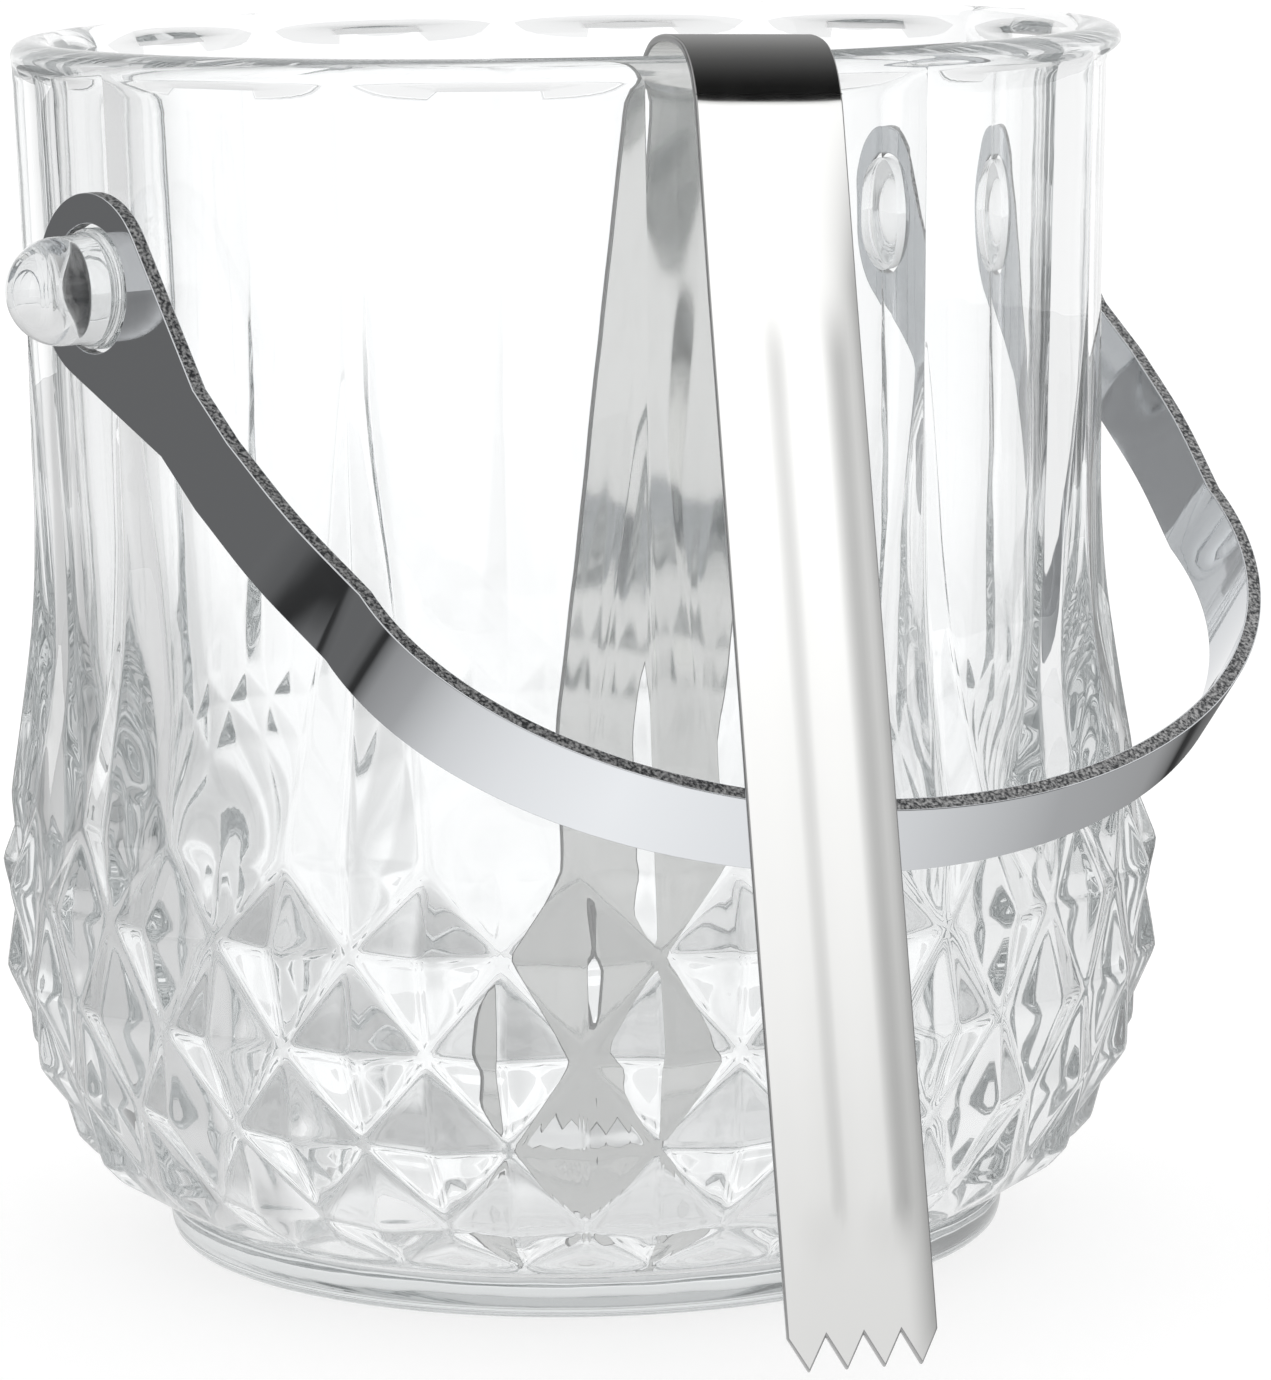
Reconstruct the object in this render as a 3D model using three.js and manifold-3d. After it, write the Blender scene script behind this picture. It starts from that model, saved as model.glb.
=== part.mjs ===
// Pressed-glass ice bucket with a steel strap bail and spring-steel ice tongs.
// Millimetres, +Z up. The origin is the centre of the foot, on the surface the bucket stands on.
// The two studs that carry the bail lie on the X axis line; the bail hangs towards -Y.
import * as THREE from 'three';
import { mergeVertices } from 'three/addons/utils/BufferGeometryUtils.js';
import Module from 'manifold-3d';

const DEG = Math.PI / 180;

// ---- Glass body: driving dimensions ----
const COLUMNS = 48;                 // 7.5 degree columns round the body
const COLUMN_ANGLE = 360 / COLUMNS;
const PANEL_COLUMNS = 4;            // a flat wall panel spans 30 degrees: 12 panels
const HALF_PANEL = 15;              // degrees from a wall corner to the middle of a panel
const CORNER_HALF_WIDTH = 1;        // degrees: the narrow flat on each wall corner
const FLOOR_Z = 4.6;                // inside floor of the bowl
const SPIRE_TIP_Z = 108;            // where the tall tapered ridges end
const PANEL_FOOT_R = 64.4;          // middle of a panel at the first row, where it turns into its point

// Cut pattern rows from the top down: height, groove-crossing radius, diamond apex radius.
const ROWS = [
  { z: 53.3, groove: 63.9, apex: 66.0 },
  { z: 44.1, groove: 65.3, apex: 67.5 },
  { z: 33.1, groove: 65.0, apex: 67.1 },
  { z: 22.6, groove: 62.3, apex: 64.6 },
  { z: 12.5, groove: 57.0, apex: 59.5 },
  { z: 6.8, groove: 51.0, apex: 52.2 },
];
// Twelve-sided wall above the pattern: height, corner radius, distance to the flat.
const WALL = [
  { z: 64, corner: 64.2, flat: 62.1 },
  { z: 74, corner: 62.7, flat: 60.8 },
  { z: 84, corner: 62.1, flat: 60.2 },
  { z: 95, corner: 62.3, flat: 60.3 },
  { z: SPIRE_TIP_Z, corner: 62.5, flat: 60.5 },
  { z: 122, corner: 62.9, flat: 61.0 },
  { z: 136.2, corner: 63.3, flat: 61.5 },
];
// Round rings: [radius, height].
const FOOT = [[47.1, 0], [48.6, 1.4], [48.8, 5.4]];
const LIP = [[63.4, 137], [63.4, 138.2], [62.6, 139], [61.2, 139.4], [59.8, 139.2], [58.7, 138.5]];
const BOWL = [
  [58.3, 137.2], [57.4, 110], [56.9, 84], [56.0, 60], [54.0, 38],
  [50.5, 21], [45.5, 11.2], [38, 6.4], [28, 4.8],
];

// ---- Studs ----
const STUD_Z = 114.1;
const STUD_SIDES = 32;
const STUD_ROOT_X = 60;             // inside the glass wall
const COLLAR_R = 6.6;
const COLLAR_END_X = 65.9;
const COLLAR_CHAMFER = 0.3;
const NECK_R = 6.15;
const HEAD_START_X = 66.4;
const HEAD_R = 5.95;
const HEAD_CENTRE_X = 69.4;
const DOME_STEPS = 8;

// ---- Bail ----
const BAIL_HANG = 50.3;             // degrees from straight down, towards -Y
const STRAP_T = 1.8;
const STRAP_W = 10.0;
const ARM_X = 64.7;                 // middle of the strap on the straight arms
const ARM_STRAIGHT = 28;            // straight length measured from the pivot
const TAPER_END = 21;               // where the eye has narrowed to the strap's width
const STRAP_OVERLAP = 6;            // strap let into each eye plate
const BOW_START = 52;               // where the inward slope becomes the bow
const BEND = { x: 63.35, y: 40.5 }; // middle of the inward slope, which bulges a little outwards
const BOW_HALF_WIDTH = 60.6;
const BOW_REACH = 91.1;             // pivot to the middle of the strap at mid-bow
const BOW_STEPS = 22;
const EYE_R = 10.4;
const EYE_HOLE_R = 7.1;
const EYE_SIDES = 40;

// ---- Tongs ----
const TONGS_AZIMUTH = 251;          // degrees from +X: where they hang on the rim
const TONGS_SIDE_LEAN = -1.9;       // degrees they hang out of plumb along the rim
const STRIP_W = 16.4;
const STRIP_T = 0.8;
const LEG_LEAN = 15.5;              // degrees each leg opens from the vertical
const LEG_LENGTH = 132.5;           // from the bow's tangent line to the tooth tips
const BOW_R = 8.0;                  // outside radius of the fold
const BOW_CENTRE_RHO = 58.7;
const BOW_CENTRE_Z = 133.2;
const FOLD_FLAT = 3.0;              // the fold's flat run over the rim before it turns down inside
const FLEX_GAP = 0.3;               // between the bow and each leg
const TEETH = 4;
const TOOTH_DEPTH = 3.6;
const BOW_ARC_STEPS = 16;

const glassMaterial = new THREE.MeshStandardMaterial({
  color: 0xeef3f4, roughness: 0.03, metalness: 0, transparent: true, opacity: 0.35,
});
const bailMaterial = new THREE.MeshStandardMaterial({ color: 0x8d9296, roughness: 0.12, metalness: 1 });
const tongsMaterial = new THREE.MeshStandardMaterial({ color: 0xc9c9c6, roughness: 0.2, metalness: 1 });

const wasm = await Module();
wasm.setup();

function toManifold(geometry) {
  const bare = geometry.index ? geometry.toNonIndexed() : geometry.clone();
  bare.deleteAttribute('normal');
  bare.deleteAttribute('uv');
  const merged = mergeVertices(bare, 1e-4);
  return new wasm.Manifold(new wasm.Mesh({
    numProp: 3,
    vertProperties: new Float32Array(merged.attributes.position.array),
    triVerts: new Uint32Array(merged.index.array),
  }));
}

function fromManifold(solid) {
  const mesh = solid.getMesh();
  const geometry = new THREE.BufferGeometry();
  geometry.setAttribute('position', new THREE.BufferAttribute(mesh.vertProperties, 3));
  geometry.setIndex(new THREE.BufferAttribute(mesh.triVerts, 1));
  geometry.computeVertexNormals();
  return geometry;
}

function indexedGeometry(points, triangles) {
  const geometry = new THREE.BufferGeometry();
  geometry.setAttribute('position', new THREE.Float32BufferAttribute(points.flat(), 3));
  geometry.setIndex(triangles.flat());
  geometry.computeVertexNormals();
  return geometry;
}

// ---- Glass body ----
const polar = (radius, degrees, z) => [radius * Math.cos(degrees * DEG), radius * Math.sin(degrees * DEG), z];
const roundRing = ([radius, z]) => (column) => polar(radius, column * COLUMN_ANGLE, z);

// A row of diamonds: groove crossings and apexes alternate round the ring. In the first row every
// other diamond is the pointed foot of a flat panel, so it is hardly raised.
function diamondRing(row, rowNumber) {
  return (column) => {
    const crossing = (column + rowNumber) % 2 === 1;
    const panelFoot = rowNumber === 0 && column % PANEL_COLUMNS === PANEL_COLUMNS / 2;
    const apex = panelFoot ? PANEL_FOOT_R : row.apex;
    return polar(crossing ? row.groove : apex, column * COLUMN_ANGLE, row.z);
  };
}

// A wall ring: ridge at each corner, flat panels between, the ridge widening downwards into a spire.
function wallRing(level) {
  const rise = Math.min(1, (level.z - ROWS[0].z) / (SPIRE_TIP_Z - ROWS[0].z));
  const ridgeHalfWidth = COLUMN_ANGLE + (CORNER_HALF_WIDTH - COLUMN_ANGLE) * rise;
  return (column) => {
    const place = column % PANEL_COLUMNS;
    const corner = Math.round(column / PANEL_COLUMNS) * PANEL_COLUMNS * COLUMN_ANGLE;
    if (place === 0) return polar(level.corner, corner, level.z);
    if (place === PANEL_COLUMNS / 2) return polar(level.flat, column * COLUMN_ANGLE, level.z);
    const side = place === 1 ? 1 : -1;
    const radius = level.flat / Math.cos((HALF_PANEL - ridgeHalfWidth) * DEG);
    return polar(radius, corner + side * ridgeHalfWidth, level.z);
  };
}

function glassShell() {
  const rings = [
    ...FOOT.map(roundRing),
    ...ROWS.map((row, index) => diamondRing(row, index)).reverse(),
    ...WALL.map(wallRing),
    ...[...LIP, ...BOWL].map(roundRing),
  ];
  const points = rings.flatMap((ring) => Array.from({ length: COLUMNS }, (_, column) => ring(column)));
  const bottom = points.push([0, 0, 0]) - 1;
  const floor = points.push([0, 0, FLOOR_Z]) - 1;
  const at = (ring, column) => ring * COLUMNS + (column % COLUMNS);
  const last = rings.length - 1;
  const triangles = [];
  for (let column = 0; column < COLUMNS; column += 1) {
    triangles.push([bottom, at(0, column + 1), at(0, column)]);
    triangles.push([floor, at(last, column), at(last, column + 1)]);
    for (let ring = 0; ring < last; ring += 1) {
      const [a, b] = [at(ring, column), at(ring, column + 1)];
      const [c, d] = [at(ring + 1, column + 1), at(ring + 1, column)];
      if (grooveRises(ring, column)) triangles.push([a, b, c], [a, c, d]);
      else triangles.push([a, b, d], [b, c, d]);
    }
  }
  return indexedGeometry(points, triangles);
}

// True where the cell's shared edge runs from lower left to upper right, as the cut grooves do.
function grooveRises(ring, column) {
  const rowNumber = FOOT.length + ROWS.length - 1 - ring;
  return (column + rowNumber) % 2 === 1;
}

// One stud, lathed about its own axis and laid along X.
function studSolid(side) {
  const dome = Array.from({ length: DOME_STEPS }, (_, step) => {
    const angle = (step / DOME_STEPS) * 90 * DEG;
    return [HEAD_R * Math.cos(angle), HEAD_CENTRE_X + HEAD_R * Math.sin(angle)];
  });
  const outline = [
    [0, STUD_ROOT_X], [COLLAR_R, STUD_ROOT_X],
    [COLLAR_R, COLLAR_END_X - COLLAR_CHAMFER], [COLLAR_R - COLLAR_CHAMFER, COLLAR_END_X],
    [NECK_R, HEAD_START_X], ...dome, [0, HEAD_CENTRE_X + HEAD_R],
  ];
  const lathe = new THREE.LatheGeometry(outline.map(([r, x]) => new THREE.Vector2(r, x)), STUD_SIDES);
  lathe.rotateZ(-side * 90 * DEG);
  lathe.translate(0, 0, STUD_Z);
  return toManifold(lathe);
}

function glassBucket() {
  const body = toManifold(glassShell()).add(studSolid(1)).add(studSolid(-1));
  return new THREE.Mesh(fromManifold(body), glassMaterial);
}

// ---- Bail ----
// Built in its own frame: x along the pivot axis, y away from the pivot, z across the strap.
function bailCentreLine() {
  const points = [[ARM_X, TAPER_END - STRAP_OVERLAP], [ARM_X, ARM_STRAIGHT], [BEND.x, BEND.y]];
  for (let step = 0; step <= BOW_STEPS; step += 1) {
    const angle = (step / BOW_STEPS) * 90 * DEG;
    points.push([BOW_HALF_WIDTH * Math.cos(angle), BOW_START + (BOW_REACH - BOW_START) * Math.sin(angle)]);
  }
  const mirrored = points.slice(0, -1).reverse().map(([x, y]) => [-x, y]);
  return [...points, ...mirrored];
}

function bailStrap() {
  const line = bailCentreLine();
  const points = [];
  line.forEach(([x, y], index) => {
    const before = line[Math.max(index - 1, 0)];
    const after = line[Math.min(index + 1, line.length - 1)];
    const run = new THREE.Vector2(after[0] - before[0], after[1] - before[1]).normalize();
    const [nx, ny] = [(run.y * STRAP_T) / 2, (-run.x * STRAP_T) / 2];
    const half = STRAP_W / 2;
    points.push([x + nx, y + ny, -half], [x + nx, y + ny, half]);
    points.push([x - nx, y - ny, half], [x - nx, y - ny, -half]);
  });
  const triangles = [[0, 1, 2], [0, 2, 3]];
  for (let section = 0; section < line.length - 1; section += 1) {
    for (let side = 0; side < 4; side += 1) {
      const next = (side + 1) % 4;
      const [a, b] = [section * 4 + side, section * 4 + next];
      triangles.push([a, a + 4, b], [b, a + 4, b + 4]);
    }
  }
  const end = (line.length - 1) * 4;
  triangles.push([end, end + 2, end + 1], [end, end + 3, end + 2]);
  return toManifold(indexedGeometry(points, triangles));
}

// Flat eye plate in the y-z plane: a round eye with a hole, tapering to the strap's width.
function eyePlate(side) {
  const half = STRAP_W / 2;
  const reach = Math.hypot(TAPER_END, half);
  const tangent = Math.acos(EYE_R / reach) + Math.atan2(half, TAPER_END);
  const outline = new THREE.Shape();
  outline.moveTo(TAPER_END, half);
  for (let step = 0; step <= EYE_SIDES / 2; step += 1) {
    const angle = tangent + (step / (EYE_SIDES / 2)) * 2 * (Math.PI - tangent);
    outline.lineTo(EYE_R * Math.cos(angle), EYE_R * Math.sin(angle));
  }
  outline.lineTo(TAPER_END, -half);
  const hole = new THREE.Path();
  hole.absarc(0, 0, EYE_HOLE_R, 0, 2 * Math.PI, true);
  outline.holes.push(hole);
  const solid = { depth: STRAP_T, bevelEnabled: false, curveSegments: EYE_SIDES };
  const plate = new THREE.ExtrudeGeometry(outline, solid);
  // The shape's x runs away from the pivot and its y across the strap.
  const frame = new THREE.Matrix4().makeBasis(
    new THREE.Vector3(0, 1, 0), new THREE.Vector3(0, 0, 1), new THREE.Vector3(1, 0, 0),
  );
  plate.applyMatrix4(frame);
  plate.translate(side * ARM_X - STRAP_T / 2, 0, 0);
  return toManifold(plate);
}

function bailHandle() {
  const solid = bailStrap().add(eyePlate(1)).add(eyePlate(-1));
  const mesh = new THREE.Mesh(fromManifold(solid), bailMaterial);
  // Hang the frame's y axis straight down, then swing it towards -Y.
  mesh.rotation.x = -(90 + BAIL_HANG) * DEG;
  mesh.position.z = STUD_Z;
  return mesh;
}

// ---- Tongs ----
// Built round the centre of the fold: x outwards from the bucket, y along the rim, z up.
function foldArc(radius) {
  const start = LEG_LEAN * DEG;
  const arc = [];
  for (let step = 0; step <= BOW_ARC_STEPS; step += 1) {
    const angle = start + (step / BOW_ARC_STEPS) * (Math.PI - 2 * start);
    const shift = step > BOW_ARC_STEPS / 2 ? FOLD_FLAT : 0;
    arc.push(new THREE.Vector2(radius * Math.cos(angle) - shift, radius * Math.sin(angle)));
  }
  return arc;
}

function tongsBow() {
  const shape = new THREE.Shape([...foldArc(BOW_R), ...foldArc(BOW_R - STRIP_T).reverse()]);
  const bow = new THREE.ExtrudeGeometry(shape, { depth: STRIP_W, bevelEnabled: false });
  bow.rotateX(90 * DEG);
  bow.translate(0, STRIP_W / 2, 0);
  return new THREE.Mesh(bow, tongsMaterial);
}

// One leg: a flat strip ending in pointed teeth, leaning outwards (side 1) or inwards (side -1).
function tongsLeg(side) {
  const half = STRIP_W / 2;
  const pitch = STRIP_W / TEETH;
  const shape = new THREE.Shape();
  shape.moveTo(-half, -FLEX_GAP);
  shape.lineTo(half, -FLEX_GAP);
  for (let tooth = 0; tooth < TEETH; tooth += 1) {
    shape.lineTo(half - tooth * pitch, -(LEG_LENGTH - TOOTH_DEPTH));
    shape.lineTo(half - (tooth + 0.5) * pitch, -LEG_LENGTH);
  }
  shape.lineTo(-half, -(LEG_LENGTH - TOOTH_DEPTH));
  const strip = new THREE.ExtrudeGeometry(shape, { depth: STRIP_T, bevelEnabled: false });
  // Stand the strip up: its width along the rim, its outer face at the fold's outside radius.
  strip.rotateX(90 * DEG);
  strip.rotateZ(side * 90 * DEG);
  strip.translate(side * (BOW_R - STRIP_T), 0, 0);
  strip.rotateY(-side * LEG_LEAN * DEG);
  strip.translate(side < 0 ? -FOLD_FLAT : 0, 0, 0);
  return new THREE.Mesh(strip, tongsMaterial);
}

function tongs() {
  const hung = new THREE.Group();
  const azimuth = TONGS_AZIMUTH * DEG;
  hung.position.set(BOW_CENTRE_RHO * Math.cos(azimuth), BOW_CENTRE_RHO * Math.sin(azimuth), BOW_CENTRE_Z);
  hung.rotation.z = azimuth;
  const leaning = new THREE.Group();
  leaning.rotation.x = TONGS_SIDE_LEAN * DEG;
  const pieces = { tongs_bow: tongsBow(), tongs_outer_leg: tongsLeg(1), tongs_inner_leg: tongsLeg(-1) };
  for (const [name, mesh] of Object.entries(pieces)) {
    mesh.name = name;
    leaning.add(mesh);
  }
  hung.add(leaning);
  return hung;
}

const iceBucket = new THREE.Group();
const glass = glassBucket();
glass.name = 'glass_bucket';
const bail = bailHandle();
bail.name = 'bail_handle';
iceBucket.add(glass, bail, tongs());

export default iceBucket;
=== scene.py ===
"""Ice bucket: the finished surfaces of the glass, the steel bail and the ice tongs, with light and camera.

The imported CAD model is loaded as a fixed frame. Every piece here is built in that frame's coordinates, rides
on one of its bodies and replaces one of its nodes. Lengths are millimetres in the shape code and metres in
Blender.
"""
from math import acos, atan2, cos, degrees, exp, hypot, log, pi, radians, sin

import bmesh
import bpy
import numpy as np
from mathutils import Matrix, Vector


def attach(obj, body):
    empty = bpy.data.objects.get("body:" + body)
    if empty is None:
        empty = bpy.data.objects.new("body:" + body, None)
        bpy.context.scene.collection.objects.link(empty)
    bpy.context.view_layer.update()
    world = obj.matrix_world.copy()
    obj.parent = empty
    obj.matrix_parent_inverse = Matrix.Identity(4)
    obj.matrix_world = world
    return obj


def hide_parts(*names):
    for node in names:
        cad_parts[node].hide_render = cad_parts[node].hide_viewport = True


MM = 0.001
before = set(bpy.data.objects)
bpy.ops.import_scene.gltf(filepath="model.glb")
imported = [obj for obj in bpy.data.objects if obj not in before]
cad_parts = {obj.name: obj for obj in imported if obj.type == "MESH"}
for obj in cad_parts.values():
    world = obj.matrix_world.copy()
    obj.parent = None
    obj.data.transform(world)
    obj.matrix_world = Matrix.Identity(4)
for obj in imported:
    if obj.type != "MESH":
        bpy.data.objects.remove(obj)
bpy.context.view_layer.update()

# ---- Camera ----
CAMERA_AZIMUTH = -37.4      # degrees round the object, 0 looks along +Y
CAMERA_DISTANCE = 0.7031    # metres from the bucket's axis, level
CAMERA_HEIGHT = 0.1751      # metres above the surface the bucket stands on
CAMERA_PAN = -0.55
CAMERA_PITCH = 9.09
CAMERA_ROLL = -0.93
CAMERA_LENS = 159.7
SENSOR = 36.0

# ---- Glass body ----
SUB = 12                    # fine columns to each 7.5 degree column of the cut pattern
COLUMNS = 48
COLUMN_ANGLE = 360 / COLUMNS
PANEL_COLUMNS = 4
HALF_PANEL = 15.0
CORNER_HALF_WIDTH = 0.4     # degrees, half of a ridge's width at its tip and above
SPIRE_TIP_Z = 108.0         # where the ridges end in a point
PANEL_FOOT_R = 64.4         # middle of a panel, where it meets the belly
# Cut rows from the top down: height, groove-crossing radius, diamond apex radius.
ROWS = [
    (53.3, 63.9, 66.0),
    (44.1, 65.3, 67.5),
    (33.1, 65.0, 67.1),
    (22.6, 62.3, 64.6),
    (12.5, 57.0, 59.5),
    (6.8, 51.0, 52.2),
]
# Wall beside the twelve ridges: height and radius.
WALL = [(64, 62.6), (74, 61.6), (84, 61.4), (95, 61.9), (108, 62.4), (122, 62.8), (136.2, 63.2)]
WALL_LEVELS = 56
RIDGE_SLOPE = 0.25          # of the two sides of each roof-shaped ridge
RIDGE_FADE = 8              # the higher, the nearer to its tip a ridge keeps that slope
PANEL_FLATNESS = 0.8        # 0 leaves the wall round between the ridges, 1 makes each panel flat
PANEL_FLAT_Z = 72.0         # from here up the panels have their full flatness
# Profiles, radius and height: the foot ring, the lip from outside to inside, and the bowl down to its floor.
FOOT = [
    (46.4, 0.0), (47.1, 0.15), (47.8, 0.55), (48.3, 1.1), (48.6, 1.9), (48.75, 2.9), (48.8, 3.8),
    (48.75, 4.5), (48.6, 5.0), (48.9, 5.35), (49.7, 5.7),
]
# Small three-sided bosses in the smooth band over the foot, one under each diamond of the lowest full row.
BAND_FOOT_R = 51.6
BOSS_TOP_Z = 11.9
BOSS_TIP_Z = 7.0
BOSS_HALF_WIDTH = 3.3
BOSS_SLOPE = 0.62
BOSS_ROUNDING = 0.35
LIP = [
    (63.2, 136.7), (63.35, 137.2), (63.4, 137.8), (63.2, 138.5), (62.6, 139.05), (61.8, 139.35),
    (61.0, 139.4), (60.2, 139.25), (59.4, 138.85), (58.8, 138.2),
]
BOWL = [
    (58.3, 137.2), (57.4, 110), (56.9, 84), (56.0, 60), (54.0, 38), (50.5, 21), (45.5, 11.2), (38, 6.4),
    (28, 4.8),
]
BOWL_LEVELS = 36
FLOOR_Z = 4.6
FIRE_POLISH = 2             # passes that round the moulded edges
FIRE_POLISH_PULL = 0.5
UNPOLISHED_LIP = 4          # rings at the inner end of the lip that stay as given
CREASE = 38                 # degrees: sharper turns in the glass keep a crisp edge

# ---- Studs ----
STUD_Z = 114.1
STUD_ROOT_X = 60.0
STUD_SIDES = 72
COLLAR_R = 6.6
COLLAR_END_X = 65.9
NECK_R = 6.15
HEAD_START_X = 66.4
HEAD_R = 5.95
HEAD_CENTRE_X = 69.4
COLLAR_EDGE = 0.45          # rounding at the collar's end
DOME_STEPS = 20

# ---- Bail ----
BAIL_HANG = 50.3
STRAP_T = 1.8
STRAP_W = 10.0
ARM_X = 64.7                # middle of the strap on its straight arms
ARM_STRAIGHT = 29.0
BEND = (40.5, 63.35)        # middle of the inward slope, which bulges a little outwards: away, across
TAPER_END = 21.0            # where the eye has narrowed to the strap's width
BOW_START = 52.0
BOW_HALF_WIDTH = 60.6
BOW_REACH = 91.1
EYE_R = 10.4
EYE_HOLE_R = 7.1
EYE_STEPS = 64
EYE_RINGS = 4
TAPER_STEPS = 10
SLOPE_STEPS = 12
BOW_STEPS = 56
STRAP_ROWS = 8              # quads across the strap
STRAP_EDGE = 0.14           # rounding along its edges

# ---- Tongs ----
TONGS_AZIMUTH = 251.0
TONGS_SIDE_LEAN = -1.9
STRIP_W = 16.4
STRIP_T = 0.8
STRIP_EDGE = 0.22
LEG_LEAN = 15.5
LEG_LENGTH = 132.5
TONGS_BOW_R = 8.0
BOW_CENTRE_RHO = 58.7
BOW_CENTRE_Z = 133.2
TEETH = 4
TOOTH_DEPTH = 3.6
TOOTH_COLUMNS = 8           # quads across each tooth
LEG_ROWS = 90
LEG_ROW_GROWTH = 1.6        # rows crowd towards the fold
LEG_CROWN = 0.35            # how far the leg's two long edges turn back
RIB_DEPTH = 0.2             # two broad ribs pressed along each leg
RIB_OFFSET = 3.4
RIB_HALF_WIDTH = 3.4
RIB_START = 20.0
RIB_END = 117.0
RIB_FADE = 9.0              # length over which a rib rises at its top; its lower end is round
FOLD_EASE = 0.3             # the fold runs out into the leg through a gentler bend, this much proud
FOLD_EASE_LENGTH = 0.6
FOLD_STEPS = 60
FOLD_FLAT = 3.0             # the fold's top runs this far flat over the rim before it turns down inside
FOLD_FLAT_FROM, FOLD_FLAT_OVER = 60, 60     # degrees round the fold: where the flat run starts, its extent
SHARP_TURN = 50             # degrees: edges of strap and strip that turn further than this are rounded

# ---- Studio ----
FLOOR_HALF = 4000
FLOOR_Z_OFFSET = -0.05
MIRROR_FLOOR_Z = -0.5
GLASS_DIM_SIDE = (-0.57, 0.82, 0.0)     # dim stretches of the room and floor, seen only through glass
GLASS_RIGHT_SIDE = (0.97, -0.1, 0.0)
GLASS_FRONT_SIDE = (-0.3, -0.95, 0.0)
CAMERA_SIDE = (-0.6, -0.78, 0.0)        # the way from the bucket towards the camera
FLOOR_GLOW = 0.74
MIRROR_WALL_R = 620.0
# What the polished steel mirrors: (distance or angle, brightness) along each unseen sheet.
MIRROR_FLOOR_CENTRE = (-55.0, -75.0)
MIRROR_FLOOR = [
    (0, 1.3), (40, 1.15), (80, 0.95), (134, 0.55), (200, 0.42), (235, 0.2), (248, 0.04), (264, 0.05),
    (285, 0.15), (330, 0.185), (900, 0.3),
]
MIRROR_WALL = [
    (-110, 1.0), (-150, 1.35), (-184, 1.35), (-192, 0.92), (-197, 0.65), (-202, 0.42), (-225, 0.28),
]
MIRROR_WALL_HEIGHTS = [(0, 0.6), (150, 0.68), (180, 0.74), (208, 0.82), (260, 0.92), (306, 1.0), (470, 1.0)]
LEFT_WALL_NEAR = (-420, 60)
LEFT_WALL_FAR = (-60, 420)
LEFT_WALL_TOP = 500
LEFT_WALL_GLOW = 0.185
SHADE_RADIUS = 90.0
SHADE_HALF_WIDTH = 30.0
# Over the fold of the tongs: azimuth, elevation and brightness, from behind it to in front.
FOLD_SHADE = [
    (38, 8, 0.35), (40, 30, 0.3), (63, 57, 0.21), (123, 67, 0.1), (159, 54, 0.04), (169, 42, 0.008),
    (175, 31, 0.0),
]


def scene_camera():
    azimuth = radians(CAMERA_AZIMUTH)
    place = Vector((sin(azimuth), -cos(azimuth), 0)) * CAMERA_DISTANCE
    place.z = CAMERA_HEIGHT
    heading = radians(CAMERA_AZIMUTH + CAMERA_PAN)
    pitch = radians(CAMERA_PITCH)
    look = Vector((-sin(heading) * cos(pitch), cos(heading) * cos(pitch), -sin(pitch)))
    data = bpy.data.cameras.new("camera")
    data.sensor_width = SENSOR
    data.lens = CAMERA_LENS
    camera = bpy.data.objects.new("camera", data)
    bpy.context.collection.objects.link(camera)
    camera.location = place
    upright = look.to_track_quat("-Z", "Y").to_matrix()
    camera.rotation_euler = (upright @ Matrix.Rotation(radians(CAMERA_ROLL), 3, "Z")).to_euler()
    bpy.context.scene.camera = camera


def new_object(name, points, faces, *materials):
    """A mesh object from points in millimetres, its faces all turned one way."""
    mesh = bpy.data.meshes.new(name)
    mesh.from_pydata([tuple(p) for p in np.asarray(points) * MM], [], faces)
    work = bmesh.new()
    work.from_mesh(mesh)
    bmesh.ops.recalc_face_normals(work, faces=work.faces)
    work.to_mesh(mesh)
    work.free()
    for material in materials:
        mesh.materials.append(material)
    mesh.polygons.foreach_set("use_smooth", [True] * len(mesh.polygons))
    made = bpy.data.objects.new(name, mesh)
    bpy.context.collection.objects.link(made)
    return made


def bake_modifiers(obj):
    """Replaces the object's mesh by the one its modifiers give."""
    evaluated = obj.evaluated_get(bpy.context.evaluated_depsgraph_get())
    mesh = bpy.data.meshes.new_from_object(evaluated)
    obj.modifiers.clear()
    obj.data = mesh


def smooth_curve(knots):
    """A smooth function through (position, value) knots whose positions rise."""
    places, values = (np.array(column, float) for column in zip(*knots))
    slopes = np.gradient(values, places)

    def value(place):
        k = int(np.clip(np.searchsorted(places, place) - 1, 0, len(places) - 2))
        span = places[k + 1] - places[k]
        t = (place - places[k]) / span
        rise = values[k + 1] - values[k]
        a = span * slopes[k] - rise
        b = rise - span * slopes[k + 1]
        return values[k] + t * rise + t * (1 - t) * ((1 - t) * a + t * b)

    return value


def smoothstep(value):
    t = min(1.0, max(0.0, value))
    return t * t * (3 - 2 * t)


# ---- Glass body ----
def polar(radius, angle, z):
    return np.array((radius * cos(radians(angle)), radius * sin(radians(angle)), z))


def column_angle(column, ridge_half_width):
    """Angle of a coarse column: those beside a wall corner close in on it as the ridge narrows."""
    place = column % PANEL_COLUMNS
    corner = round(column / PANEL_COLUMNS) * PANEL_COLUMNS * COLUMN_ANGLE
    if place in (0, PANEL_COLUMNS // 2):
        return column * COLUMN_ANGLE
    return corner + (ridge_half_width if place == 1 else -ridge_half_width)


def chords(corners):
    """Fine ring with straight runs between the coarse points."""
    ring = [a + (b - a) * (s / SUB) for a, b in zip(corners, corners[1:] + corners[:1]) for s in range(SUB)]
    return np.array(ring)


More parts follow.
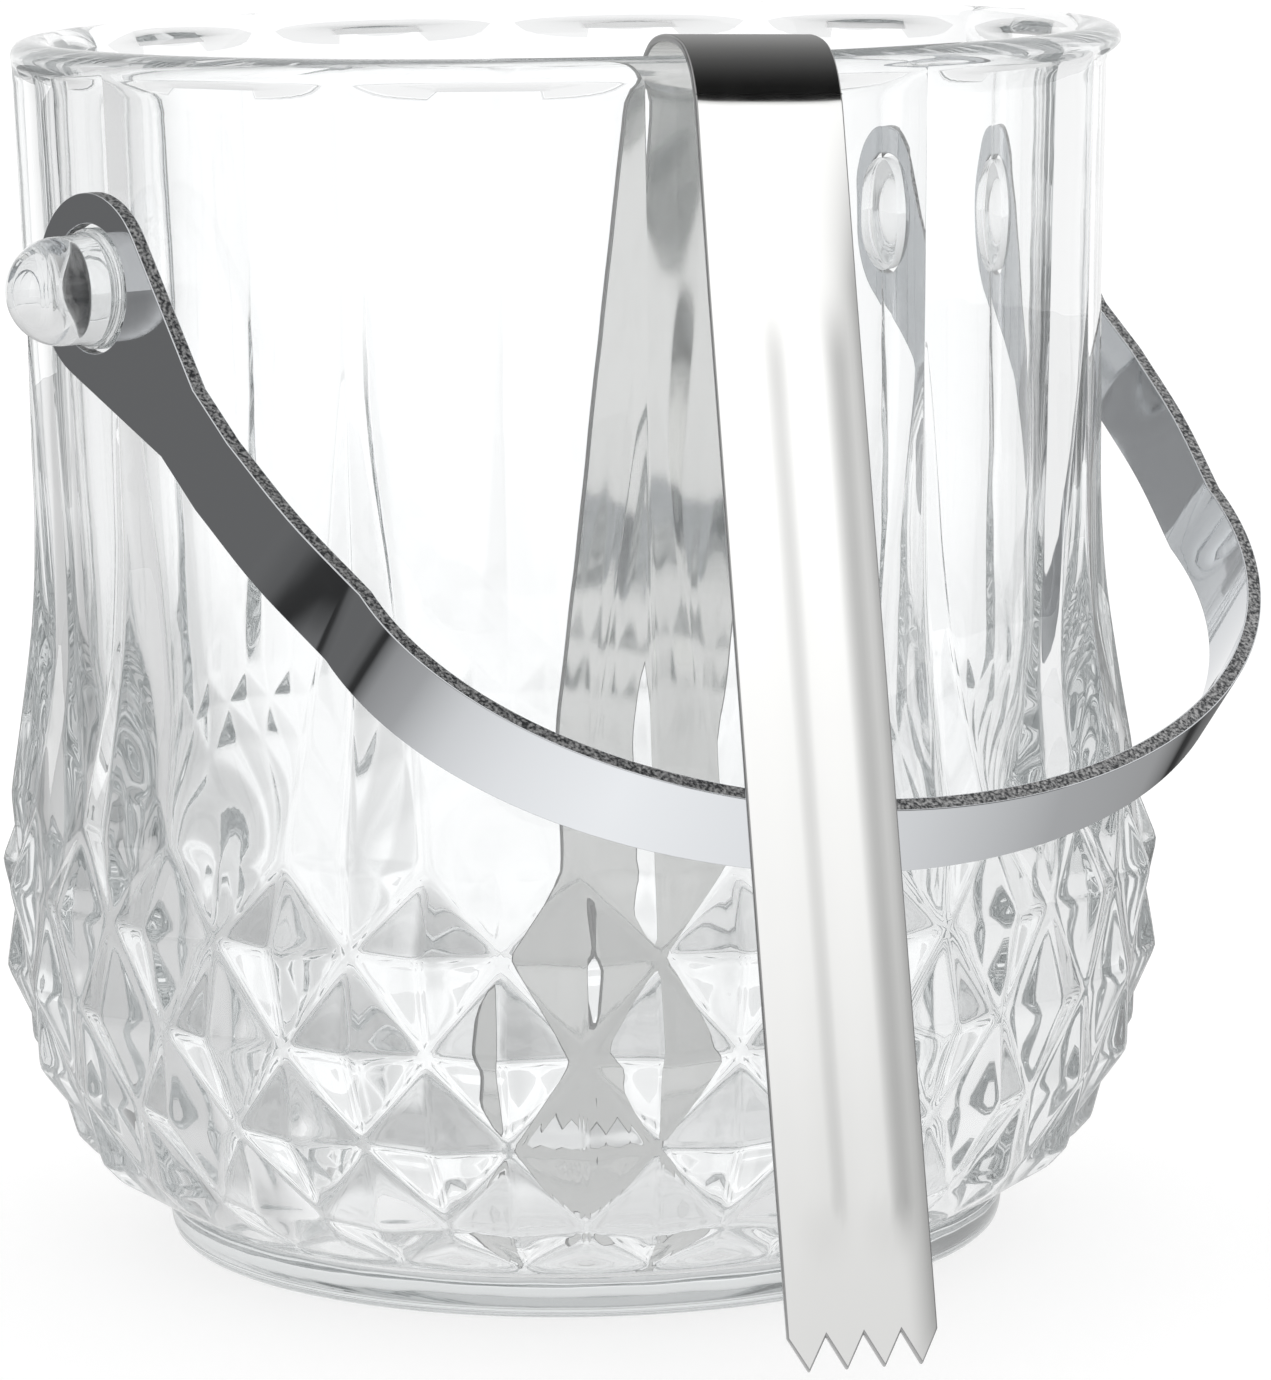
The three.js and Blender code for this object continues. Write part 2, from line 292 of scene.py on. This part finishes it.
def round_ring(radius, z, ridge_half_width=COLUMN_ANGLE):
    """Fine ring that is truly round, with its columns where the pattern has them."""
    marks = [column_angle(column, ridge_half_width) for column in range(COLUMNS)] + [360]
    return np.array([
        polar(radius, a + (b - a) * (s / SUB), z) for a, b in zip(marks, marks[1:]) for s in range(SUB)
    ])


def row_corners(number):
    z, groove, apex = ROWS[number]
    corners = []
    for column in range(COLUMNS):
        crossing = (column + number) % 2 == 1
        panel_foot = number == 0 and column % PANEL_COLUMNS == PANEL_COLUMNS // 2
        raised = PANEL_FOOT_R if panel_foot else apex
        corners.append(polar(groove if crossing else raised, column * COLUMN_ANGLE, z))
    return corners


def diamond_levels(lower, upper):
    """Fine rings between two rows: each cell is two flat facets that meet along the groove."""
    below, above = row_corners(lower), row_corners(upper)
    levels = []
    for step in range(SUB):
        t = step / SUB
        ring = []
        for column in range(COLUMNS):
            nxt = (column + 1) % COLUMNS
            a, b, c, d = below[column], below[nxt], above[nxt], above[column]
            rising = (column + lower) % 2 == 1
            for fine in range(SUB):
                s = fine / SUB
                if rising and t <= s:
                    ring.append(a + s * (b - a) + t * (c - b))
                elif rising:
                    ring.append(a + t * (d - a) + s * (c - d))
                elif s + t <= 1:
                    ring.append(a + s * (b - a) + t * (d - a))
                else:
                    ring.append(c + (1 - s) * (d - c) + (1 - t) * (b - c))
        levels.append(np.array(ring))
    return levels


def boss_height(across, z):
    """Height of a boss: an upside-down triangle with sloping sides and soft corners."""
    run = BOSS_TOP_Z - BOSS_TIP_Z
    slant = hypot(run, BOSS_HALF_WIDTH)
    from_side = ((z - BOSS_TIP_Z) * BOSS_HALF_WIDTH - abs(across) * run) / slant
    from_top = BOSS_TOP_Z - z
    blend = BOSS_ROUNDING
    inside = -blend * log(exp(-from_side / blend) + exp(-from_top / blend))
    return BOSS_SLOPE * blend * log(1 + exp(inside / blend))


def band_levels():
    """The smooth band between the foot and the lowest row of diamonds, with its bosses."""
    below = round_ring(BAND_FOOT_R, ROWS[-1][0])
    above = chords(row_corners(len(ROWS) - 2))
    levels = []
    for step in range(SUB):
        ring = below + (above - below) * (step / SUB)
        for k, point in enumerate(ring):
            fine = (k + SUB) % (2 * SUB) - SUB
            radius = hypot(point[0], point[1])
            raised = boss_height(fine / SUB * radians(COLUMN_ANGLE) * radius, point[2])
            point[:2] *= 1 + raised / radius
        levels.append(ring)
    return levels


def wall_levels():
    """Rings up the wall: a narrowing ridge every thirty degrees, and between them panels, nearly flat."""
    first_z, first_groove, _ = ROWS[0]
    side_r = smooth_curve([(first_z, first_groove)] + WALL)
    levels = []
    for step in range(WALL_LEVELS + 1):
        z = first_z + (WALL[-1][0] - first_z) * step / WALL_LEVELS
        narrowing = min(1.0, (z - first_z) / (SPIRE_TIP_Z - first_z))
        half = COLUMN_ANGLE + (CORNER_HALF_WIDTH - COLUMN_ANGLE) * narrowing
        height = RIDGE_SLOPE * side_r(z) * (1 - narrowing ** RIDGE_FADE)
        settled = smoothstep((z - first_z) / (PANEL_FLAT_Z - first_z))
        ring = round_ring(1.0, z, half)
        for point in ring:
            off = abs((degrees(atan2(point[1], point[0])) + HALF_PANEL) % (2 * HALF_PANEL) - HALF_PANEL)
            bulge = (PANEL_FOOT_R - first_groove) * smoothstep((off - half) / (HALF_PANEL - half))
            flat = cos(radians(HALF_PANEL)) / cos(radians(HALF_PANEL - off))
            radius = side_r(z) * (1 - PANEL_FLATNESS * settled * (1 - flat)) + bulge * (1 - settled)
            point[:2] *= radius + height * radians(max(0.0, half - off))
        levels.append(ring)
    return levels


def bowl_levels():
    """Round rings down the smooth inside, evenly spaced along its curve."""
    knots = BOWL + [(0.5, FLOOR_Z)]
    lengths = [hypot(b[0] - a[0], b[1] - a[1]) for a, b in zip(knots, knots[1:])]
    run = np.concatenate([[0], np.cumsum(lengths)])
    radius = smooth_curve(list(zip(run, [k[0] for k in knots])))
    height = smooth_curve(list(zip(run, [k[1] for k in knots])))
    levels = []
    for step in range(BOWL_LEVELS + 1):
        place = run[-1] * step / BOWL_LEVELS
        ridge = CORNER_HALF_WIDTH + (COLUMN_ANGLE - CORNER_HALF_WIDTH) * step / BOWL_LEVELS
        levels.append(round_ring(radius(place), height(place), ridge))
    return levels


def fire_polish(grid, first, last):
    """Rounds the moulded edges between two levels by pulling each point towards its neighbours."""
    for _ in range(FIRE_POLISH):
        around = (np.roll(grid, 1, axis=1) + np.roll(grid, -1, axis=1)) / 4
        around[1:-1] += (grid[:-2] + grid[2:]) / 4
        grid[first:last] += (around[first:last] - grid[first:last]) * FIRE_POLISH_PULL
    return grid


def glass_body(material):
    levels = [round_ring(radius, z) for radius, z in FOOT]
    first_cut = len(levels) - 1
    levels += band_levels()
    for lower in range(len(ROWS) - 2, 0, -1):
        levels += diamond_levels(lower, lower - 1)
    levels += wall_levels()
    levels += [round_ring(radius, z, CORNER_HALF_WIDTH) for radius, z in LIP]
    last_cut = len(levels) - UNPOLISHED_LIP
    levels += bowl_levels()
    grid = fire_polish(np.array(levels), first_cut, last_cut)
    count = COLUMNS * SUB
    points = list(grid.reshape(-1, 3)) + [(0, 0, 0), (0, 0, FLOOR_Z)]
    bottom, floor = len(points) - 2, len(points) - 1
    top = len(levels) - 1
    faces = []
    for k in range(count):
        n = (k + 1) % count
        faces.append((bottom, n, k))
        faces.append((floor, top * count + k, top * count + n))
        for ring in range(top):
            a, b = ring * count + k, ring * count + n
            faces += cell_faces(ring - first_cut - 1, k, a, b, b + count, a + count)
    return new_object("glass_bucket_cut", points, faces, material)


def cell_faces(fine_row, fine_column, a, b, c, d):
    """Two triangles for a cell of the cut pattern, split the way its groove runs; elsewhere one quad."""
    row = fine_row // SUB
    if fine_row < 0 or row >= len(ROWS) - 1:
        return [(a, b, c, d)]
    rising = (fine_column // SUB + len(ROWS) - 1 - row) % 2 == 1
    return [(a, b, c), (a, c, d)] if rising else [(a, b, d), (b, c, d)]


def stud_outline():
    """(x, radius) points of a stud, from its root inside the wall to the middle of its domed head."""
    outline = [
        (STUD_ROOT_X, 0),
        (STUD_ROOT_X, COLLAR_R),
        (COLLAR_END_X - COLLAR_EDGE, COLLAR_R),
        (COLLAR_END_X - COLLAR_EDGE / 3, COLLAR_R - 0.1),
        (COLLAR_END_X, COLLAR_R - 0.3),
        (HEAD_START_X - 0.2, NECK_R),
        (HEAD_START_X, NECK_R - 0.05),
        (HEAD_START_X + 0.8, HEAD_R + 0.03),
        (HEAD_CENTRE_X - 1, HEAD_R),
    ]
    for step in range(DOME_STEPS):
        angle = step / DOME_STEPS * pi / 2
        outline.append((HEAD_CENTRE_X + HEAD_R * sin(angle), HEAD_R * cos(angle)))
    outline.append((HEAD_CENTRE_X + HEAD_R, 0))
    return outline


def stud(side):
    """A stud lathed about the X axis."""
    points, rings = [], []
    for x, r in stud_outline():
        ring = []
        for k in range(STUD_SIDES if r else 1):
            angle = 2 * pi * k / STUD_SIDES
            ring.append(len(points))
            points.append((side * x, r * cos(angle), STUD_Z + side * r * sin(angle)))
        rings.append(ring)
    faces = []
    for low, high in zip(rings, rings[1:]):
        for k in range(STUD_SIDES):
            n = (k + 1) % STUD_SIDES
            corners = [low[k % len(low)], low[n % len(low)], high[n % len(high)], high[k % len(high)]]
            faces.append(tuple(dict.fromkeys(corners))[::-1])
    return new_object("stud", points, faces)


def glass_bucket(material):
    body = glass_body(material)
    for side in (-1, 1):
        piece = stud(side)
        join = body.modifiers.new("join", "BOOLEAN")
        join.operation = "UNION"
        join.solver = "EXACT"
        join.object = piece
        bake_modifiers(body)
        bpy.data.objects.remove(piece)
    body.data.set_sharp_from_angle(angle=radians(CREASE))
    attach(body, "bucket")
    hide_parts("glass_bucket")


# ---- Bail ----
def bail_centre_line():
    """(across, away) points of the strap's middle from the +X arm to the -X arm, between the eye plates."""
    line = [(ARM_X, TAPER_END)]
    lead = smooth_curve([(ARM_STRAIGHT, ARM_X), BEND, (BOW_START, BOW_HALF_WIDTH)])
    for step in range(SLOPE_STEPS):
        away = ARM_STRAIGHT + (BOW_START - ARM_STRAIGHT) * step / SLOPE_STEPS
        line.append((lead(away), away))
    for step in range(BOW_STEPS + 1):
        angle = step / BOW_STEPS * pi / 2
        line.append((BOW_HALF_WIDTH * cos(angle), BOW_START + (BOW_REACH - BOW_START) * sin(angle)))
    return line + [(-x, y) for x, y in line[-2::-1]]


def eye_outline():
    """(away, across) points round one eye plate, starting with the strap's end points."""
    half = STRAP_W / 2
    reach = hypot(TAPER_END, half)
    tangent = acos(EYE_R / reach) + atan2(half, TAPER_END)
    outline = [(TAPER_END, half - STRAP_W * k / STRAP_ROWS) for k in range(STRAP_ROWS + 1)]
    touch = (EYE_R * cos(tangent), EYE_R * sin(tangent))
    taper = [
        (TAPER_END + (touch[0] - TAPER_END) * k / TAPER_STEPS, half + (touch[1] - half) * k / TAPER_STEPS)
        for k in range(1, TAPER_STEPS)
    ]
    arc = [tangent + k / EYE_STEPS * 2 * (pi - tangent) for k in range(EYE_STEPS + 1)]
    rim = [(EYE_R * cos(a), EYE_R * sin(a)) for a in arc]
    return outline[::-1] + taper + rim + [(x, -y) for x, y in taper[::-1]]


def eye_sheet(side, start):
    """Middle surface of one eye plate: rings of points from its hole to its outline. The outline shares the
    strap's end points, and start is the index of the first of them."""
    outline = eye_outline()
    points, faces = [], []
    count = len(outline)
    index = {}
    for ring in range(EYE_RINGS + 1):
        t = ring / EYE_RINGS
        for k, (x, y) in enumerate(outline):
            if ring == EYE_RINGS and k <= STRAP_ROWS:
                index[ring, k] = start + k
                continue
            angle = atan2(y, x)
            hole = (EYE_HOLE_R * cos(angle), EYE_HOLE_R * sin(angle))
            index[ring, k] = ("new", len(points))
            points.append((side * ARM_X, hole[0] + (x - hole[0]) * t, hole[1] + (y - hole[1]) * t))
    for ring in range(EYE_RINGS):
        for k in range(count):
            n = (k + 1) % count
            faces.append((index[ring, k], index[ring, n], index[ring + 1, n], index[ring + 1, k]))
    return points, faces


def bail_sheet():
    line = bail_centre_line()
    across = [-STRAP_W / 2 + STRAP_W * k / STRAP_ROWS for k in range(STRAP_ROWS + 1)]
    points = [(x, y, w) for x, y in line for w in across]
    wide = STRAP_ROWS + 1
    faces = [
        (s * wide + k, s * wide + k + 1, (s + 1) * wide + k + 1, (s + 1) * wide + k)
        for s in range(len(line) - 1) for k in range(STRAP_ROWS)
    ]
    for side, start in ((1, 0), (-1, (len(line) - 1) * wide)):
        extra, extra_faces = eye_sheet(side, start)
        base = len(points)
        points += extra
        for face in extra_faces:
            corners = [i if isinstance(i, int) else base + i[1] for i in face]
            faces.append(tuple(corners if side < 0 else corners[::-1]))
    return points, faces


def mark_edges(mesh, left_square):
    """Marks the edges to round. Those whose ends are all where left_square is true stay square and crisp."""
    work = bmesh.new()
    work.from_mesh(mesh)
    weights = []
    for edge in work.edges:
        turned = edge.calc_face_angle(0) > radians(SHARP_TURN)
        square = all(left_square(v.co / MM) for v in edge.verts)
        edge.smooth = not (turned and square)
        weights.append(float(turned and not square))
    work.to_mesh(mesh)
    work.free()
    mesh.attributes.new("bevel_weight_edge", "FLOAT", "EDGE").data.foreach_set("value", weights)


def thicken(obj, thickness, edge_radius, edge_slot, left_square):
    """Gives a sheet its thickness, with the second material on its cut edges and a small radius along them.
    edge_slot is the material on that radius."""
    solid = obj.modifiers.new("thickness", "SOLIDIFY")
    solid.thickness = thickness * MM
    solid.offset = 0
    solid.use_even_offset = True
    solid.material_offset_rim = 1
    bake_modifiers(obj)
    mark_edges(obj.data, left_square)
    edge = obj.modifiers.new("edge", "BEVEL")
    edge.width = edge_radius * MM
    edge.segments = 2
    edge.limit_method = "WEIGHT"
    edge.material = edge_slot
    edge.harden_normals = True
    bake_modifiers(obj)


def bail(face_material, edge_material):
    points, faces = bail_sheet()
    obj = new_object("bail_strap", points, faces, face_material, edge_material)
    thicken(obj, STRAP_T, STRAP_EDGE, 0, lambda point: False)
    hang = Matrix.Rotation(-radians(90 + BAIL_HANG), 4, "X")
    obj.data.transform(Matrix.Translation((0, 0, STUD_Z * MM)) @ hang)
    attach(obj, "bail")
    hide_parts("bail_handle")


# ---- Tongs ----
def tongs_place():
    """Matrix from the fold's own frame (x outwards, y along the rim, z up) to the row frame."""
    azimuth = radians(TONGS_AZIMUTH)
    fold = Vector((cos(azimuth), sin(azimuth), 0)) * BOW_CENTRE_RHO
    fold.z = BOW_CENTRE_Z
    turn = Matrix.Rotation(azimuth, 4, "Z") @ Matrix.Rotation(radians(TONGS_SIDE_LEAN), 4, "X")
    return Matrix.Translation(fold * MM) @ turn


def sheet_faces(rows, columns):
    wide = columns + 1
    return [
        (r * wide + c, r * wide + c + 1, (r + 1) * wide + c + 1, (r + 1) * wide + c)
        for r in range(rows) for c in range(columns)
    ]


def rib_height(across, down):
    """How far the two pressed ribs stand out of a leg."""
    near = min(abs(across - RIB_OFFSET), abs(across + RIB_OFFSET)) / RIB_HALF_WIDTH
    past = max(0.0, down - RIB_END) / RIB_HALF_WIDTH
    reach = min(1.0, hypot(near, past))
    return RIB_DEPTH * smoothstep((down - RIB_START) / RIB_FADE) * (0.5 + 0.5 * cos(pi * reach))


def fold_ease(down):
    """How far the strip stands outside the fold's circle, at a distance below the fold's end."""
    return FOLD_EASE / (1 + exp(-down / FOLD_EASE_LENGTH))


def leg_sheet(side):
    """Middle surface of one leg, ending in teeth."""
    columns = TEETH * TOOTH_COLUMNS
    lean = radians(LEG_LEAN)
    radius = TONGS_BOW_R - STRIP_T / 2
    points = []
    for row in range(LEG_ROWS + 1):
        for column in range(columns + 1):
            across = -STRIP_W / 2 + STRIP_W * column / columns
            in_tooth = column % TOOTH_COLUMNS / TOOTH_COLUMNS
            tooth = TOOTH_DEPTH * (1 - abs(2 * in_tooth - 1))
            length = LEG_LENGTH - TOOTH_DEPTH + tooth
            down = length * (row / LEG_ROWS) ** LEG_ROW_GROWTH
            crown = -LEG_CROWN * (2 * across / STRIP_W) ** 4 * min(1, down / RIB_START)
            out = radius + crown + fold_ease(down) + rib_height(across, down)
            x = side * (out * cos(lean) + down * sin(lean)) - (FOLD_FLAT if side < 0 else 0)
            z = out * sin(lean) - down * cos(lean)
            points.append((x, across, z))
    faces = sheet_faces(LEG_ROWS, columns)
    return points, faces if side < 0 else [f[::-1] for f in faces]


def bow_sheet():
    columns = TEETH * TOOTH_COLUMNS
    lean = radians(LEG_LEAN)
    points = []
    for step in range(FOLD_STEPS + 1):
        angle = lean + (pi - 2 * lean) * step / FOLD_STEPS
        above = TONGS_BOW_R * (min(angle, pi - angle) - lean)
        radius = TONGS_BOW_R - STRIP_T / 2 + fold_ease(-above)
        flat = smoothstep((degrees(angle) - FOLD_FLAT_FROM) / FOLD_FLAT_OVER)
        for column in range(columns + 1):
            across = -STRIP_W / 2 + STRIP_W * column / columns
            points.append((radius * cos(angle) - FOLD_FLAT * flat, across, radius * sin(angle)))
    return points, sheet_faces(FOLD_STEPS, columns)


def at_fold_end(point):
    """True for points where the fold meets a leg, which carry no rounded edge."""
    lean = radians(LEG_LEAN)
    aside = point.x if point.x > 0 else -point.x - FOLD_FLAT
    return abs(aside * sin(lean) - point.z * cos(lean)) < STRIP_T / 8


def tongs(face_material, edge_material):
    place = tongs_place()
    pieces = [
        ("tongs_fold", bow_sheet(), "tongs", "tongs_bow"),
        ("tongs_leg_outer", leg_sheet(1), "outer_leg", "tongs_outer_leg"),
        ("tongs_leg_inner", leg_sheet(-1), "inner_leg", "tongs_inner_leg"),
    ]
    for name, (points, faces), body, node in pieces:
        obj = new_object(name, points, faces, face_material, edge_material)
        thicken(obj, STRIP_T, STRIP_EDGE, 1, at_fold_end)
        obj.data.transform(place)
        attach(obj, body)
        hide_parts(node)


# ---- Materials ----
def node_material(name):
    material = bpy.data.materials.new(name)
    material.use_nodes = True
    tree = material.node_tree
    return material, tree, tree.nodes["Principled BSDF"]


def noise(tree, scale, detail=3.0, stretch=(1, 1, 1)):
    """A noise pattern fixed to the object, in features per metre."""
    place = tree.nodes.new("ShaderNodeTexCoord")
    mapping = tree.nodes.new("ShaderNodeMapping")
    mapping.inputs["Scale"].default_value = stretch
    pattern = tree.nodes.new("ShaderNodeTexNoise")
    pattern.inputs["Scale"].default_value = scale
    pattern.inputs["Detail"].default_value = detail
    tree.links.new(place.outputs["Object"], mapping.inputs["Vector"])
    tree.links.new(mapping.outputs["Vector"], pattern.inputs["Vector"])
    return pattern.outputs["Fac"]


def ranged(tree, value, low, high):
    """The value, from 0 to 1, spread from low to high."""
    spread = tree.nodes.new("ShaderNodeMapRange")
    spread.inputs["To Min"].default_value = low
    spread.inputs["To Max"].default_value = high
    tree.links.new(value, spread.inputs["Value"])
    return spread.outputs["Result"]


def bumped(tree, shader, height, strength, distance):
    bump = tree.nodes.new("ShaderNodeBump")
    bump.inputs["Strength"].default_value = strength
    bump.inputs["Distance"].default_value = distance
    tree.links.new(height, bump.inputs["Height"])
    tree.links.new(bump.outputs["Normal"], shader.inputs["Normal"])


def glass_material():
    material, tree, shader = node_material("pressed_glass")
    shader.inputs["Base Color"].default_value = (0.985, 0.99, 0.992, 1)
    shader.inputs["Transmission Weight"].default_value = 1.0
    shader.inputs["IOR"].default_value = 1.5
    shader.inputs["Roughness"].default_value = 0.0
    bumped(tree, shader, noise(tree, 55, 2), 0.25, 0.0004)
    tint = tree.nodes.new("ShaderNodeVolumeAbsorption")
    tint.inputs["Color"].default_value = (0.05, 0.12, 0.13, 1)
    tint.inputs["Density"].default_value = 3.0
    tree.links.new(tint.outputs["Volume"], tree.nodes["Material Output"].inputs["Volume"])
    return material


def steel_material(name, colour, roughness, streak):
    """Polished steel: faint rolling streaks in the roughness and a slightly uneven surface."""
    material, tree, shader = node_material(name)
    shader.inputs["Base Color"].default_value = (*colour, 1)
    shader.inputs["Metallic"].default_value = 1.0
    tree.links.new(ranged(tree, noise(tree, 400, 4, streak), *roughness), shader.inputs["Roughness"])
    bumped(tree, shader, noise(tree, 60, 2), 0.12, 0.0003)
    return material


def sheared_edge_material():
    """The torn, sparkling edge that a blanking die leaves on strip."""
    material, tree, shader = node_material("sheared_steel_edge")
    shader.inputs["Metallic"].default_value = 1.0
    grain = noise(tree, 2600, 4)
    ramp = tree.nodes.new("ShaderNodeValToRGB")
    ramp.color_ramp.elements[0].position = 0.4
    ramp.color_ramp.elements[0].color = (0.05, 0.052, 0.055, 1)
    ramp.color_ramp.elements[1].position = 0.68
    ramp.color_ramp.elements[1].color = (0.5, 0.5, 0.5, 1)
    tree.links.new(grain, ramp.inputs["Fac"])
    tree.links.new(ramp.outputs["Color"], shader.inputs["Base Color"])
    tree.links.new(ranged(tree, grain, 0.3, 0.6), shader.inputs["Roughness"])
    bumped(tree, shader, grain, 0.8, 0.0002)
    return material


# ---- Studio ----
def mixed(tree, factor, first, second):
    """A grey between two greys; factor, first and second are sockets or numbers."""
    mix = tree.nodes.new("ShaderNodeMix")
    for name, value in (("Factor", factor), ("A", first), ("B", second)):
        if isinstance(value, (int, float)):
            mix.inputs[name].default_value = value
        else:
            tree.links.new(value, mix.inputs[name])
    return mix.outputs["Result"]


def towards(tree, direction, start, end, coordinates="Generated"):
    """Rises from 0 to 1 as the angle to a direction shrinks, between two cosines. A world's Generated
    coordinates are the ray's direction, and a floor's Object coordinates give the way from the bucket."""
    place = tree.nodes.new("ShaderNodeTexCoord")
    unit = tree.nodes.new("ShaderNodeVectorMath")
    unit.operation = "NORMALIZE"
    tree.links.new(place.outputs[coordinates], unit.inputs[0])
    dot = tree.nodes.new("ShaderNodeVectorMath")
    dot.operation = "DOT_PRODUCT"
    dot.inputs[1].default_value = Vector(direction).normalized()
    tree.links.new(unit.outputs["Vector"], dot.inputs[0])
    rise = tree.nodes.new("ShaderNodeMapRange")
    rise.interpolation_type = "SMOOTHSTEP"
    rise.inputs["From Min"].default_value = start
    rise.inputs["From Max"].default_value = end
    tree.links.new(dot.outputs["Value"], rise.inputs["Value"])
    return rise.outputs["Result"]


def studio_world():
    """White all round. What the glass bends into view is a little greyer overhead and at the sides."""
    world = bpy.data.worlds.new("studio")
    world.use_nodes = True
    bpy.context.scene.world = world
    tree = world.node_tree
    background = tree.nodes["Background"]
    path = tree.nodes.new("ShaderNodeLightPath")
    overhead = towards(tree, (0, 0, 1), 0.0, 0.6)
    dim_side = towards(tree, GLASS_DIM_SIDE, 0.5, 0.95)
    camera_side = towards(tree, CAMERA_SIDE, 0.0, 0.9)
    level = mixed(tree, camera_side, mixed(tree, overhead, 0.95, 0.75), 0.7)
    glass_sees = mixed(tree, dim_side, level, 0.3)
    light = mixed(tree, path.outputs["Is Transmission Ray"], 1.0, glass_sees)
    tree.links.new(light, background.inputs["Color"])


def mirror_sheet(name, rows, values):
    """A glowing sheet that only mirrors see: rows of points with a brightness for each."""
    wide = len(rows[0])
    sheet = new_object(name, [p for row in rows for p in row], sheet_faces(len(rows) - 1, wide - 1))
    glow = sheet.data.attributes.new("glow", "FLOAT", "POINT")
    glow.data.foreach_set("value", [v for row in values for v in row])
    material, tree, shader = node_material(name)
    shader.inputs["Base Color"].default_value = (0, 0, 0, 1)
    shader.inputs["Specular IOR Level"].default_value = 0
    shader.inputs["Emission Color"].default_value = (1, 1, 1, 1)
    attribute = tree.nodes.new("ShaderNodeAttribute")
    attribute.attribute_name = "glow"
    tree.links.new(attribute.outputs["Fac"], shader.inputs["Emission Strength"])
    sheet.data.materials.append(material)
    sheet.visible_camera = False
    sheet.visible_diffuse = False
    sheet.visible_transmission = False
    sheet.visible_shadow = False


def compass(azimuth, elevation=0.0):
    """Direction at an azimuth clockwise from +Y, seen from above."""
    a, e = radians(azimuth), radians(elevation)
    return np.array((sin(a) * cos(e), cos(a) * cos(e), sin(e)))


def mirror_floor():
    turns = range(0, 361, 5)
    centre = np.array((*MIRROR_FLOOR_CENTRE, MIRROR_FLOOR_Z))
    rows = [[centre + radius * compass(a) for a in turns] for radius, _ in MIRROR_FLOOR]
    mirror_sheet("mirror_floor", rows, [[glow] * len(turns) for _, glow in MIRROR_FLOOR])


def mirror_wall():
    rows = [
        [MIRROR_WALL_R * compass(azimuth) + (0, 0, height) for azimuth, _ in MIRROR_WALL]
        for height, _ in MIRROR_WALL_HEIGHTS
    ]
    values = [[glow * share for _, glow in MIRROR_WALL] for _, share in MIRROR_WALL_HEIGHTS]
    mirror_sheet("mirror_wall", rows, values)


def left_wall():
    rows = [[(*LEFT_WALL_NEAR, z), (*LEFT_WALL_FAR, z)] for z in (0, LEFT_WALL_TOP)]
    mirror_sheet("mirror_left", rows, [[LEFT_WALL_GLOW] * 2] * 2)


def fold_shade():
    """A dark arch over the fold of the tongs."""
    centre = np.array(tongs_place().translation) / MM
    along = np.array(tongs_place().to_3x3() @ Vector((0, 1, 0))) * SHADE_HALF_WIDTH
    middles = [centre + SHADE_RADIUS * compass(azimuth, elevation) for azimuth, elevation, _ in FOLD_SHADE]
    rows = [[middle - along, middle + along] for middle in middles]
    mirror_sheet("fold_shade", rows, [[glow] * 2 for *_, glow in FOLD_SHADE])


def floor():
    """Pale floor. Mirrors see the mirror floor in its stead, and the glass sees it dimmer at both sides."""
    material, tree, shader = node_material("pale_floor")
    shader.inputs["Base Color"].default_value = (0.3, 0.3, 0.3, 1)
    shader.inputs["Roughness"].default_value = 0.9
    shader.inputs["Emission Color"].default_value = (1, 1, 1, 1)
    path = tree.nodes.new("ShaderNodeLightPath")
    left = towards(tree, GLASS_DIM_SIDE, 0.5, 0.95, "Object")
    right = towards(tree, GLASS_RIGHT_SIDE, 0.5, 0.95, "Object")
    front = towards(tree, GLASS_FRONT_SIDE, 0.3, 0.95, "Object")
    through_glass = mixed(tree, front, mixed(tree, right, mixed(tree, left, 0.8, 0.4), 0.62), 0.62)
    glow = mixed(tree, path.outputs["Is Transmission Ray"], FLOOR_GLOW, through_glass)
    tree.links.new(glow, shader.inputs["Emission Strength"])
    bumped(tree, shader, noise(tree, 30, 2), 0.02, 0.0002)
    h, z = FLOOR_HALF, FLOOR_Z_OFFSET
    sheet = new_object("floor", [(-h, -h, z), (h, -h, z), (h, h, z), (-h, h, z)], [(0, 1, 2, 3)], material)
    sheet.visible_glossy = False


def studio():
    studio_world()
    floor()
    mirror_floor()
    mirror_wall()
    left_wall()
    fold_shade()


bpy.context.scene.view_settings.view_transform = "Standard"
# Thick glass turns light many times before it lets it out.
cycles = bpy.context.scene.cycles
cycles.max_bounces = 32
cycles.glossy_bounces = 24
cycles.transmission_bounces = 24
scene_camera()
edge_material = sheared_edge_material()
glass_bucket(glass_material())
bail(steel_material("bail_polish", (0.63, 0.645, 0.665), (0.03, 0.07), (1, 1, 1)), edge_material)
tongs_edge = steel_material("tongs_edge", (0.36, 0.36, 0.36), (0.25, 0.4), (1, 1, 1))
tongs(steel_material("tongs_polish", (0.78, 0.78, 0.77), (0.06, 0.12), (1, 1, 0.05)), tongs_edge)
studio()
